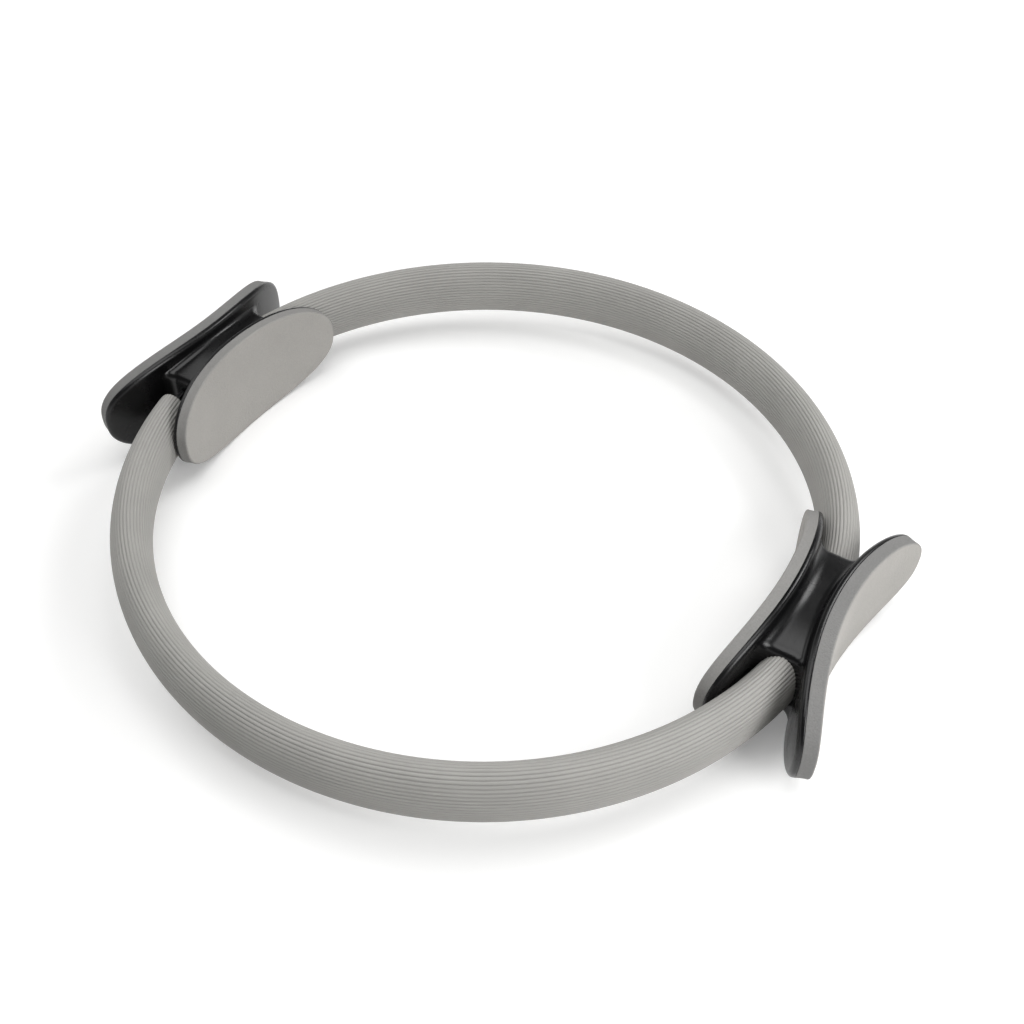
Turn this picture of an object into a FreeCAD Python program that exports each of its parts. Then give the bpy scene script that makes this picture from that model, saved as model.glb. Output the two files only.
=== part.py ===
import FreeCAD, Part
import math
import os

# Pilates ring lying flat: a sprung hoop in a soft sleeve, with a padded handle at each end of the X axis.
# Millimetres and degrees. +Z is up, the origin is the centre of the hoop on the floor, and the front is -Y.

# Hoop and sleeve
ring_outer_radius = 180.0
sleeve_width = 18.8
sleeve_height = 31.6

# Two spring bands inside the sleeve, one nested in the other
band_width = 20.0
band_thickness = 1.2
band_spacing = 0.2
band_end_gap = 1.5
band_clearance = 0.3

# Foam pads, glued to the paddles
pad_height = 55.0
pad_thickness = 5.6
glue_gap = 0.1
inner_pad_length = 123.6
inner_pad_straight = 32.0
inner_pad_radius = 180.0
outer_pad_length = 136.0
outer_pad_straight = 40.0
outer_pad_radius = 157.6

# Moulded handle halves: a paddle behind each pad, and a saddle that clamps the bands
inner_saddle_depth = 13.6
outer_saddle_depth = 5.46
plate_thickness = 3.2
plate_tip_thickness = 2.2
plate_rounding = 2.0
collar_length = 68.4
saddle_height = 40.8
saddle_rounding = 1.2
parting_gap = 0.1
sleeve_tuck = 4.0
sleeve_clearance = 0.3

# Screws through the bands, and the threaded inserts that take them
screw_spacing = 40.0
screw_diameter = 4.0
screw_head_diameter = 7.0
screw_head_height = 2.4
screw_head_recess = 0.4
screw_clearance = 0.2
insert_diameter = 5.6
insert_length = 5.0
thread_clearance = 0.05

# Riveted splice where a band's two ends meet
splice_length = 30.0
splice_width = 18.0
splice_thickness = 1.2
rivet_spacing_along = 20.0
rivet_spacing_across = 10.0
rivet_diameter = 3.2
rivet_head_diameter = 6.0
rivet_head_height = 1.0
rivet_clearance = 0.1
seat_gap = 0.05
pocket_clearance = 0.2

# Bends, where the sleeve is cut so that the hoop can flex
bend_margin = 2.0
shoulder_bend_angle = 70.0
stretch_angle = 6.0
bend_slack = 0.5
bend_gap = 0.3

# Places worked out from the sizes above
core_radius = ring_outer_radius - sleeve_width / 2
ring_inner_radius = ring_outer_radius - sleeve_width
mid_height = pad_height / 2
inner_back_radius = inner_pad_radius + pad_thickness
inner_centre = core_radius - inner_saddle_depth - inner_back_radius
outer_back_radius = outer_pad_radius + pad_thickness
outer_centre = core_radius + outer_saddle_depth + outer_back_radius
core_half = band_thickness + band_spacing / 2
slot_half = core_half + band_clearance
splice_front = core_half + seat_gap
splice_back = splice_front + splice_thickness
reach = ring_outer_radius + outer_pad_length

Vector = FreeCAD.Vector
ORIGIN = Vector(0, 0, 0)
UP = Vector(0, 0, 1)
ACROSS = Vector(0, 1, 0)
OUTWARD = Vector(1, 0, 0)
HALF_TURN = 180.0
FULL_TURN = 360.0
EDGE_SAMPLES = 5
TOUCH = 1e-4
HANDLES = {"right": 0.0, "left": HALF_TURN}


def angle_at(offset):
    """Angle round the hoop of the point of the bands that lies this far from the X axis."""
    return math.degrees(math.asin(offset / core_radius))


collar_angle = angle_at(collar_length / 2)
tuck_angle = angle_at(collar_length / 2 - sleeve_tuck)
handle_bend_angle = angle_at(max(inner_pad_length, outer_pad_length) / 2 + bend_margin)


def plate_back_radius(front_radius, length):
    """Radius of a paddle's back, which leaves the paddle thinner at its tips than in its middle."""
    half = length / 2
    bow = front_radius - math.sqrt(front_radius ** 2 - half ** 2) + plate_thickness - plate_tip_thickness
    return (half ** 2 + bow ** 2) / (2 * bow)


def wall_x(radius, offset, centre=0.0):
    """X of a round upright wall, on its +X side, at this distance from the X axis."""
    return centre + math.sqrt(radius ** 2 - offset ** 2)


def upright(radius, height, centre=0.0):
    """Upright cylinder on the X axis, centred on the hoop's mid height."""
    return Part.makeCylinder(radius, height, Vector(centre, 0, mid_height - height / 2))


def swept(section, start, end):
    """Section in the XZ plane carried round the hoop from one angle to the other."""
    placed = section.copy()
    placed.rotate(ORIGIN, UP, start)
    return placed.revolve(ORIGIN, UP, end - start)


def oval_section(width, height):
    """Elliptical face in the XZ plane, centred on the bands."""
    centre = Vector(core_radius, 0, mid_height)
    top = centre + UP * (height / 2)
    side = centre + OUTWARD * (width / 2)
    return Part.Face(Part.Wire(Part.Ellipse(top, side, centre).toShape()))


def strip_section(low, high, height):
    """Rectangular face in the XZ plane between two radii, centred on the hoop's mid height."""
    bottom, top = mid_height - height / 2, mid_height + height / 2
    corners = [(low, bottom), (high, bottom), (high, top), (low, top), (low, bottom)]
    return Part.Face(Part.makePolygon([Vector(x, 0, z) for x, z in corners]))


def strip(low, high, height, start, end):
    """Flat strip bent round the hoop between two radii and two angles."""
    return swept(strip_section(low, high, height), start, end)


def both_ends(shape):
    """The shape and its mirror image across the X axis, as one."""
    return shape.fuse(shape.mirror(ORIGIN, ACROSS))


def at_handle(shape, handle):
    """Copy of a shape of the right handle, turned to the named handle."""
    copy = shape.copy()
    copy.rotate(ORIGIN, UP, HANDLES[handle])
    return copy


# Fasteners

def screw_offsets():
    """Distances of the two screws from the X axis."""
    return (-screw_spacing / 2, screw_spacing / 2)


def screw_seat(offset):
    """X of the seat under a screw's head, below the inner pad."""
    return wall_x(inner_back_radius, offset, inner_centre) + screw_head_height + screw_head_recess


def insert_mouth(offset):
    """X of the open end of an insert, just outside the bands."""
    return wall_x(core_radius + slot_half, offset + math.copysign(insert_diameter / 2, -offset))


def rod(diameter, start, end, offset, height=0.0):
    """Cylinder along X from start to end, at this distance from the X axis and from the mid height."""
    return Part.makeCylinder(diameter / 2, end - start, Vector(start, offset, mid_height + height), OUTWARD)


def screws():
    """Two pan-head screws, put in from the inner side."""
    made = []
    for offset in screw_offsets():
        seat = screw_seat(offset)
        head = rod(screw_head_diameter, seat - screw_head_height, seat, offset)
        shank = rod(screw_diameter, seat, insert_mouth(offset) + insert_length, offset)
        made.append(head.fuse(shank).removeSplitter())
    return Part.makeCompound(made)


def inserts():
    """Two threaded inserts in the outer half."""
    made = []
    for offset in screw_offsets():
        mouth = insert_mouth(offset)
        body = rod(insert_diameter, mouth, mouth + insert_length, offset)
        bore = rod(screw_diameter + 2 * thread_clearance, mouth, mouth + insert_length, offset)
        made.append(body.cut(bore))
    return Part.makeCompound(made)


def screw_holes():
    """Clearance holes for the two screws, from the inner pad to the inserts."""
    diameter = screw_diameter + 2 * screw_clearance
    low = core_radius - inner_saddle_depth
    holes = [rod(diameter, low, insert_mouth(offset), offset) for offset in screw_offsets()]
    return holes[0].fuse(holes[1])


def head_pockets():
    """Counterbores that sink the screw heads below the inner pad."""
    diameter = screw_head_diameter + 2 * screw_clearance
    low = wall_x(inner_pad_radius, inner_pad_length / 2, inner_centre)
    pockets = [rod(diameter, low, screw_seat(offset), offset) for offset in screw_offsets()]
    return pockets[0].fuse(pockets[1])


def insert_pockets():
    """Holes in the outer half that the inserts are pressed into."""
    pockets = []
    for offset in screw_offsets():
        mouth = insert_mouth(offset)
        pockets.append(rod(insert_diameter, core_radius, mouth + insert_length, offset))
    return pockets[0].fuse(pockets[1])


def rivet_places():
    """Angle round the hoop and height above the mid height of each rivet."""
    angle = angle_at(rivet_spacing_along / 2)
    height = rivet_spacing_across / 2
    return [(turn, lift) for turn in (-angle, angle) for lift in (-height, height)]


def rivet_rods(diameter, low, high):
    """One cylinder for each rivet, pointing away from the hoop's centre between two radii."""
    rods = []
    for angle, lift in rivet_places():
        made = rod(diameter, low, high, 0.0, lift)
        made.rotate(ORIGIN, UP, angle)
        rods.append(made)
    return rods


def rivets():
    """Rivets with a head on the splice plate and one on the outer band."""
    inside, outside = core_radius - splice_back - seat_gap, core_radius + core_half + seat_gap
    shanks = rivet_rods(rivet_diameter, inside, outside)
    near = rivet_rods(rivet_head_diameter, inside - rivet_head_height, inside)
    far = rivet_rods(rivet_head_diameter, outside, outside + rivet_head_height)
    made = [shank.multiFuse([a, b]) for shank, a, b in zip(shanks, near, far)]
    return Part.makeCompound(made)


def drills():
    """Holes for the rivets and screws of a handle through its splice plate and the bands."""
    holes = rivet_rods(rivet_diameter + 2 * rivet_clearance, core_radius - inner_saddle_depth, reach)
    return screw_holes().multiFuse(holes)


def rivet_pockets():
    """Room for the splice plate and the rivets' heads in the handle halves."""
    diameter = rivet_head_diameter + 2 * pocket_clearance
    depth = seat_gap + rivet_head_height + pocket_clearance
    heads = rivet_rods(diameter, core_radius - splice_back - depth, core_radius + core_half + depth)
    return heads[0].multiFuse(heads[1:] + [splice_blank(pocket_clearance)])


# Spring bands

def splice_blank(spare):
    """Splice plate with no holes, grown on every side by the spare room."""
    turn = angle_at(splice_length / 2 + spare)
    low = core_radius - splice_back - spare
    return strip(low, core_radius - splice_front, splice_width + 2 * spare, -turn, turn)


def splice_plate():
    """Curved steel plate that joins the ends of a band."""
    return splice_blank(0.0).cut(drills())


def band(low, handle):
    """Spring band from its inner radius, with its two ends meeting in the named handle."""
    half_gap = angle_at(band_end_gap / 2)
    made = at_handle(strip(low, low + band_thickness, band_width, half_gap, FULL_TURN - half_gap), handle)
    return made.cut([at_handle(drills(), name) for name in HANDLES])


# Sleeve

def bend_notch(angle, hinge, into):
    """Wedge cut from the sleeve beside a bend, with its edge on the wall that hinges.

    hinge is 1 for the outer wall, -1 for the inner wall and 0 for a square end. into is 1 where the
    sleeve lies past the bend and -1 where it lies before it.
    """
    half = math.radians(stretch_angle + bend_slack) / 2
    pivot = ring_outer_radius if hinge > 0 else ring_inner_radius
    depth = 2 * sleeve_width
    corners = [(pivot, 0.0), (pivot - hinge * depth, 0.0)]
    corners.append((pivot - hinge * depth, into * depth * math.tan(half)))
    corners.append(corners[0])
    plan = Part.Face(Part.makePolygon([Vector(x, y, 0) for x, y in corners]))
    plan.rotate(ORIGIN, UP, angle)
    return plan.extrude(UP * pad_height)


def sleeve(start, end):
    """Stretch of sleeve between two ends, each an angle round the hoop and the hinge of the bend there."""
    slot = strip_section(core_radius - slot_half, core_radius + slot_half, band_width + 2 * band_clearance)
    section = oval_section(sleeve_width, sleeve_height).cut(slot).Faces[0]
    setback = angle_at(bend_gap / 2)
    made = swept(section, start[0] + setback, end[0] - setback)
    for (angle, hinge), into in ((start, 1), (end, -1)):
        if hinge:
            made = made.cut(bend_notch(angle, hinge, into))
    return made


def sleeve_ends(handle):
    """The two ends of the sleeves that stay still in a handle."""
    end = sleeve((tuck_angle, 0), (handle_bend_angle, 1))
    pair = Part.makeCompound([end, end.mirror(ORIGIN, ACROSS)])
    return at_handle(pair, handle)


def sleeve_channel():
    """Room for the two sleeve ends in a handle."""
    section = oval_section(sleeve_width + 2 * sleeve_clearance, sleeve_height + 2 * sleeve_clearance)
    return both_ends(swept(section, tuck_angle, handle_bend_angle))


# Handles

def oval_prism(length, straight):
    """Pad outline, straight along the top and bottom with half ellipses as ends, carried along X."""
    low, rise, round_half = core_radius - reach / 2, pad_height / 2, (length - straight) / 2
    edges = []
    for side in (1, -1):
        centre = Vector(low, side * straight / 2, mid_height)
        tip = centre + ACROSS * (side * round_half)
        ellipse = Part.Ellipse(tip, centre + UP * (side * rise), centre)
        edges.append(Part.ArcOfEllipse(ellipse, -math.pi / 2, math.pi / 2).toShape())
        left, right = (Vector(low, y, mid_height + side * rise) for y in (-straight / 2, straight / 2))
        edges.append(Part.LineSegment(left, right).toShape())
    return Part.Face(Part.Wire(Part.__sortEdges__(edges))).extrude(OUTWARD * reach)


def slab(outline, near, far):
    """Part of an outline between two upright walls, each a radius and its centre on the X axis."""
    shell = upright(far[0], pad_height, far[1]).cut(upright(near[0], pad_height, near[1]))
    return outline.common(shell)


def inner_outline():
    """Outline of the inner pad and its paddle, carried along X."""
    return oval_prism(inner_pad_length, inner_pad_straight)


def outer_outline():
    """Outline of the outer pad and its paddle, carried along X."""
    return oval_prism(outer_pad_length, outer_pad_straight)


def rounded_back(plate, radius, centre):
    """Plate with a rounded edge round its back, which is the wall of this radius and centre."""
    axis = Vector(centre, 0, 0)
    rim = []
    for edge in plate.Edges:
        offsets = [(place - axis).cross(UP).Length - radius for place in edge.discretize(EDGE_SAMPLES)]
        if max(map(abs, offsets)) < TOUCH:
            rim.append(edge)
    return plate.makeFillet(plate_rounding, rim)


def saddle():
    """Saddle over the bands: a block between the two pads, with rounded edges above and below its ends."""
    low = Vector(0, 0, mid_height - saddle_height / 2)
    wedge = Part.makeCylinder(reach, saddle_height, low, UP, 2 * collar_angle)
    wedge.rotate(ORIGIN, UP, -collar_angle)
    inside = upright(inner_back_radius, saddle_height, inner_centre)
    outside = upright(outer_back_radius, saddle_height, outer_centre)
    block = wedge.cut(inside.fuse(outside))
    rims = []
    for edge in block.Edges:
        rises = [abs(place.z - mid_height) for place in edge.discretize(EDGE_SAMPLES)]
        if isinstance(edge.Curve, Part.Line) and min(rises) > saddle_height / 2 - TOUCH:
            rims.append(edge)
    return block.makeFillet(saddle_rounding, rims)


def inner_paddle():
    """Inner half of a handle: the paddle behind the inner pad, with its half of the saddle."""
    inside = upright(core_radius - parting_gap / 2, pad_height)
    back = plate_back_radius(inner_back_radius, inner_pad_length)
    centre = core_radius - inner_saddle_depth + plate_thickness - back
    plate = slab(inner_outline(), (inner_back_radius, inner_centre), (back, centre))
    half = saddle().common(inside).fuse(rounded_back(plate, back, centre))
    tools = [band_slot(), rivet_pockets(), screw_holes(), head_pockets()]
    return half.removeSplitter().cut(sleeve_channel().multiFuse(tools))


def outer_paddle():
    """Outer half of a handle: the paddle behind the outer pad, with its half of the saddle."""
    inside = upright(core_radius + parting_gap / 2, pad_height)
    back = plate_back_radius(outer_back_radius, outer_pad_length)
    centre = core_radius + outer_saddle_depth - plate_thickness + back
    plate = slab(outer_outline(), (outer_back_radius, outer_centre), (back, centre))
    half = saddle().cut(inside).fuse(rounded_back(plate, back, centre))
    tools = [band_slot(), rivet_pockets(), insert_pockets()]
    return half.removeSplitter().cut(sleeve_channel().multiFuse(tools))


def band_slot():
    """Room for the two bands right through a handle."""
    low, high = core_radius - slot_half, core_radius + slot_half
    return strip(low, high, band_width + 2 * band_clearance, -handle_bend_angle, handle_bend_angle)


def inner_pad():
    """Foam pad that faces the middle of the hoop."""
    back = inner_back_radius - glue_gap
    return slab(inner_outline(), (inner_pad_radius, inner_centre), (back, inner_centre))


def outer_pad():
    """Foam pad that faces away from the hoop."""
    back = outer_back_radius - glue_gap
    return slab(outer_outline(), (outer_pad_radius, outer_centre), (back, outer_centre))


# Nodes

def build_nodes():
    """Every piece of the ring, by the name of its node."""
    nodes = {
        "inner_band": band(core_radius - core_half, "right"),
        "outer_band": band(core_radius + band_spacing / 2, "left"),
    }
    handle_pieces = {
        "inner_paddle": inner_paddle(),
        "outer_paddle": outer_paddle(),
        "inner_pad": inner_pad(),
        "outer_pad": outer_pad(),
        "screws": screws(),
        "inserts": inserts(),
        "splice_plate": splice_plate(),
        "rivets": rivets(),
    }
    for handle in HANDLES:
        for name, shape in handle_pieces.items():
            nodes[f"{handle}_{name}"] = at_handle(shape, handle)
        nodes[f"{handle}_sleeve_ends"] = sleeve_ends(handle)
    bend, shoulder, top = handle_bend_angle, shoulder_bend_angle, HALF_TURN / 2
    far_bend, far_shoulder = HALF_TURN - bend, HALF_TURN - shoulder
    nodes["front_right_sleeve"] = sleeve((-shoulder, -1), (-bend, 1))
    nodes["front_middle_sleeve"] = sleeve((-far_shoulder, -1), (-shoulder, -1))
    nodes["front_left_sleeve"] = sleeve((-far_bend, 1), (-far_shoulder, -1))
    nodes["back_right_sleeve"] = sleeve((bend, 1), (shoulder, -1))
    nodes["back_middle_right_sleeve"] = sleeve((shoulder, -1), (top, 0))
    nodes["back_middle_left_sleeve"] = sleeve((top, 0), (far_shoulder, -1))
    nodes["back_left_sleeve"] = sleeve((far_shoulder, -1), (far_bend, 1))
    return nodes


os.makedirs("parts", exist_ok=True)
for node_name, node_shape in build_nodes().items():
    node_shape.exportStep(f"parts/{node_name}.step")
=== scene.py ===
"""Looks of a pilates ring: a ribbed rubber hoop with a padded, clamped-on handle at each end.

Lengths are metres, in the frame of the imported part. The hoop lies flat round the Z axis over a floor at
Z = 0, and the two handles stand at the ends of the X axis.
"""

import logging
import math
from dataclasses import dataclass
from enum import Enum

import bmesh
import bpy
import numpy as np
from mathutils import Matrix, Vector
from numpy.typing import NDArray


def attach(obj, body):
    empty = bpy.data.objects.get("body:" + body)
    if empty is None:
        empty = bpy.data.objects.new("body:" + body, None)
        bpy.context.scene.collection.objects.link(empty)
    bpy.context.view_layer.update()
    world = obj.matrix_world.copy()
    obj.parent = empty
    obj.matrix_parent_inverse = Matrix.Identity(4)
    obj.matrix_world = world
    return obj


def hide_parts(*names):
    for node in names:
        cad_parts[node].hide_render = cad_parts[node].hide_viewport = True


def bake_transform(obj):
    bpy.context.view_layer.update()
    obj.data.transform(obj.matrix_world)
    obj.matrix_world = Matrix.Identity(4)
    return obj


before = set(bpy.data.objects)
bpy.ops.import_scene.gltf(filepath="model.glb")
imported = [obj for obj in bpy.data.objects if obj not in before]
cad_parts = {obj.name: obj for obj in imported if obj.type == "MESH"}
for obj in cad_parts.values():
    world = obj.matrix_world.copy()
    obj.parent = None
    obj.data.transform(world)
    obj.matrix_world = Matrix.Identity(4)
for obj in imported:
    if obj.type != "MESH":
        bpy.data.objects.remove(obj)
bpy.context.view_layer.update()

Array = NDArray[np.float64]
Colour = tuple[float, float, float]
Spot = tuple[float, float, float]
Range = tuple[float, float]
Size = tuple[float, float]
Socket = bpy.types.NodeSocket
Key = str | int
Inputs = dict[Key, Socket | float | Spot]

QUARTER_TURN = math.pi / 2
HALF_TURN = math.pi
FULL_TURN = 2 * math.pi
WELD = 1e-7
WHITE = (1.0, 1.0, 1.0, 1.0)
NOISE_SPAN = (0.3, 0.7)
WHOLE = (0.0, 1.0)
SEEN_RAYS = ("Camera", "Glossy", "Transmission")
log = logging.getLogger("pilates_ring")


class Slot(Enum):
    """Material slots of the record; nothing in the script uses them."""

    SLEEVE = "sleeve_rubber"
    HANDLE = "handle_plastic"
    PAD = "pad_foam"
    BAND = "band_steel"


class Side(Enum):
    """The two handles, each with the sign of its end of the X axis."""

    RIGHT = 1.0
    LEFT = -1.0

    @property
    def word(self) -> str:
        """The handle's word in the names of its nodes and body."""
        return self.name.lower()

    @property
    def body(self) -> str:
        """The body that the handle's pieces ride on."""
        return f"{self.word}_handle"


class Facing(Enum):
    """The two halves of a handle, each with the sign of the way from its pad towards the hoop."""

    INNER = 1.0
    OUTER = -1.0

    @property
    def word(self) -> str:
        """The half's word in the names of its nodes."""
        return self.name.lower()


class Wiring:
    """A node tree in the making, with short ways to add nodes."""

    def __init__(self, tree: bpy.types.NodeTree) -> None:
        """Takes hold of a tree's nodes and links."""
        self.nodes, self.links = tree.nodes, tree.links

    def node(self, kind: str, output: Key, inputs: Inputs | None = None, **settings: str) -> Socket:
        """Adds a node.

        Args:
            kind: The node's type, without the words that all of them start with.
            output: Name or number of the output to use.
            inputs: What goes into the node, by name or number: a socket to link or a value to set.
            settings: The node's own settings.

        Returns:
            The output.
        """
        node = self.nodes.new(f"ShaderNode{kind}")
        for name, setting in settings.items():
            setattr(node, name, setting)
        for key, value in (inputs or {}).items():
            if isinstance(value, Socket):
                self.links.new(value, node.inputs[key])
            else:
                node.inputs[key].default_value = value
        return node.outputs[output]

    def spread(self, value: Socket, source: Range, target: Range) -> Socket:
        """Carries a value from a source range to a target range, and keeps it inside that."""
        ends = dict(zip(("From Min", "From Max", "To Min", "To Max"), source + target))
        return self.node("MapRange", "Result", {"Value": value, **ends})

    def sum(self, first: Socket, second: Socket) -> Socket:
        """Adds two values."""
        return self.node("Math", 0, {0: first, 1: second}, operation="ADD")

    def product(self, first: Socket, second: Socket) -> Socket:
        """Multiplies two values."""
        return self.node("Math", 0, {0: first, 1: second}, operation="MULTIPLY")


class Shading(Wiring):
    """A principled material in the making, whose patterns follow the piece's own coordinates."""

    def __init__(self, name: str) -> None:
        """Starts a material.

        Args:
            name: Name of the material.
        """
        self.material = bpy.data.materials.new(name)
        self.material.use_nodes = True
        super().__init__(self.material.node_tree)
        self.surface = self.nodes["Principled BSDF"]
        self.place = self.node("TexCoord", "Object")

    def attribute(self, name: str, output: str) -> Socket:
        """Reads one of the mesh's own attributes."""
        return self.node("Attribute", output, attribute_name=name)

    def stretched(self, place: Socket, scale: Spot) -> Socket:
        """Scales coordinates along their axes."""
        return self.node("Mapping", "Vector", {"Vector": place, "Scale": scale})

    def noise(self, size: float, detail: float, place: Socket | None = None) -> Socket:
        """Adds a cloudy noise, by the width of a patch in metres and the finer layers on top."""
        inputs = {"Scale": 1.0 / size, "Detail": detail, "Vector": place or self.place}
        return self.node("TexNoise", 0, inputs)

    def pores(self, size: float) -> Socket:
        """Adds round cells of a size in metres and gives the distance from their middles."""
        return self.node("TexVoronoi", "Distance", {"Scale": 1.0 / size, "Vector": self.place})

    def ramp(self, value: Socket, dark: Colour, light: Colour) -> Socket:
        """Makes a colour that follows a value.

        Args:
            value: The value.
            dark: Colour at 0.
            light: Colour at 1.

        Returns:
            The colour.
        """
        colour = self.node("ValToRGB", "Color", {"Fac": value})
        for stop, shade in zip(colour.node.color_ramp.elements, (dark, light)):
            stop.color = (*shade, 1.0)
        return colour

    def wire(self, key: str, value: Socket) -> None:
        """Wires a value to one of the surface's inputs."""
        self.links.new(value, self.surface.inputs[key])

    def bump(self, height: Socket, depth: float) -> None:
        """Raises the surface's shading by a value times a depth in metres."""
        self.wire("Normal", self.node("Bump", "Normal", {"Distance": depth, "Height": height}))


@dataclass(frozen=True)
class RubberFinish:
    """Matt extruded rubber: cloudy grey, with painted shade that darkens the grooves, and faint streaks
    along its length.
    """

    name: str = "grey_sleeve_rubber"
    light: Colour = (0.40, 0.392, 0.372)
    dark: Colour = (0.27, 0.266, 0.254)
    cloud: float = 0.030
    cloud_tones: Range = (0.62, 0.86)
    streak: float = 0.0012
    streak_stretch: Spot = (0.03, 1.0, 1.0)
    streak_tones: Range = (-0.08, 0.08)
    groove_shade_tones: Range = (0.0, -0.45)
    gloss: Range = (0.56, 0.70)
    grain: float = 0.00035
    grain_depth: float = 0.00006
    specular: float = 0.35

    def material(self) -> bpy.types.Material:
        """Makes the rubber's material.

        Returns:
            The material.
        """
        shading = Shading(self.name)
        lay = shading.attribute("lay", "Vector")
        groove = shading.attribute("groove", "Fac")
        cloud = shading.spread(shading.noise(self.cloud, detail=3.0), NOISE_SPAN, self.cloud_tones)
        streaks = shading.noise(self.streak, detail=2.0, place=shading.stretched(lay, self.streak_stretch))
        tone = shading.sum(cloud, shading.spread(streaks, NOISE_SPAN, self.streak_tones))
        # Painted shade: the colour darkens with the depth of each rib's groove.
        shaded = shading.sum(tone, shading.spread(groove, WHOLE, self.groove_shade_tones))
        shading.wire("Base Color", shading.ramp(shaded, self.dark, self.light))
        shading.wire("Roughness", shading.spread(streaks, NOISE_SPAN, self.gloss))
        shading.bump(shading.noise(self.grain, detail=2.0, place=lay), self.grain_depth)
        shading.surface.inputs["Specular IOR Level"].default_value = self.specular
        return shading.material


@dataclass(frozen=True)
class FoamFinish:
    """Closed-cell foam: fine warm grey skin of small cells; cut faces darker, more neutral, partly painted
    shade.
    """

    name: str = "grey_pad_foam"
    light: Colour = (0.43, 0.415, 0.393)
    dark: Colour = (0.30, 0.292, 0.278)
    cut_and_shade_light: Colour = (0.24, 0.238, 0.233)
    cut_and_shade_dark: Colour = (0.15, 0.149, 0.146)
    cloud: float = 0.022
    cloud_tones: Range = (0.56, 0.76)
    speckle: float = 0.0007
    speckle_tones: Range = (-0.16, 0.16)
    cell: float = 0.0009
    cell_span: Range = (0.0, 0.8)
    cell_depth: float = 0.00012
    gloss: Range = (0.92, 0.74)
    specular: float = 0.25

    def material(self) -> bpy.types.Material:
        """Makes the foam's material.

        Returns:
            The material.
        """
        shading = Shading(self.name)
        cloud = shading.spread(shading.noise(self.cloud, detail=4.0), NOISE_SPAN, self.cloud_tones)
        speckle = shading.spread(shading.noise(self.speckle, detail=3.0), NOISE_SPAN, self.speckle_tones)
        tone = shading.sum(cloud, speckle)
        skin = shading.ramp(tone, self.dark, self.light)
        # Side and back colour: partly the cut foam's own colour, partly painted shade.
        cut = shading.ramp(tone, self.cut_and_shade_dark, self.cut_and_shade_light)
        share = shading.attribute("cut", "Fac")
        colour = shading.node("MixRGB", "Color", {"Fac": share, "Color1": skin, "Color2": cut})
        shading.wire("Base Color", colour)
        pores = shading.pores(self.cell)
        shading.wire("Roughness", shading.spread(pores, self.cell_span, self.gloss))
        shading.bump(pores, self.cell_depth)
        shading.surface.inputs["Specular IOR Level"].default_value = self.specular
        return shading.material


@dataclass(frozen=True)
class PlasticFinish:
    """Satin black moulding: a fine spark-eroded grain with slightly uneven gloss."""

    name: str = "black_handle_plastic"
    light: Colour = (0.0065, 0.0065, 0.0068)
    dark: Colour = (0.0035, 0.0035, 0.0038)
    cloud: float = 0.016
    grain: float = 0.0004
    grain_depth: float = 0.00003
    gloss: Range = (0.22, 0.30)
    specular: float = 0.42

    def material(self) -> bpy.types.Material:
        """Makes the moulding's material.

        Returns:
            The material.
        """
        shading = Shading(self.name)
        cloud = shading.noise(self.cloud, detail=3.0)
        tone = shading.spread(cloud, NOISE_SPAN, WHOLE)
        shading.wire("Base Color", shading.ramp(tone, self.dark, self.light))
        shading.wire("Roughness", shading.spread(cloud, NOISE_SPAN, self.gloss))
        shading.bump(shading.noise(self.grain, detail=3.0), self.grain_depth)
        shading.surface.inputs["Specular IOR Level"].default_value = self.specular
        return shading.material


@dataclass(frozen=True)
class MetalFinish:
    """Bare metal with a drawn or turned grain."""

    name: str
    light: Colour
    dark: Colour
    grain: float = 0.0006
    stretch: Spot = (1.0, 1.0, 0.08)
    gloss: Range = (0.24, 0.42)
    grain_depth: float = 0.00001

    def material(self) -> bpy.types.Material:
        """Makes the metal's material.

        Returns:
            The material.
        """
        shading = Shading(self.name)
        place = shading.stretched(shading.place, self.stretch)
        lines = shading.noise(self.grain, detail=3.0, place=place)
        tone = shading.spread(lines, NOISE_SPAN, WHOLE)
        shading.wire("Base Color", shading.ramp(tone, self.dark, self.light))
        shading.wire("Roughness", shading.spread(lines, NOISE_SPAN, self.gloss))
        shading.bump(lines, self.grain_depth)
        shading.surface.inputs["Metallic"].default_value = 1.0
        return shading.material


def cells(rows: int, columns: int, wrap_rows: bool = False) -> NDArray[np.int64]:
    """Joins a grid of points, closed round its columns, by four-cornered faces.

    A cell's corners are the point at its row and column and the next ones along both.

    Args:
        rows: Number of rings.
        columns: Number of points round a ring.
        wrap_rows: Whether the last ring joins the first.

    Returns:
        One row of four point numbers for each face.
    """
    first_rows = np.arange(rows if wrap_rows else rows - 1)
    row, column = np.meshgrid(first_rows, np.arange(columns), indexing="ij")
    next_row = (row + 1) % rows
    next_column = (column + 1) % columns
    corners = (row * columns + column, next_row * columns + column,
               next_row * columns + next_column, row * columns + next_column)
    return np.stack(corners, axis=-1).reshape(-1, 4)


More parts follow.
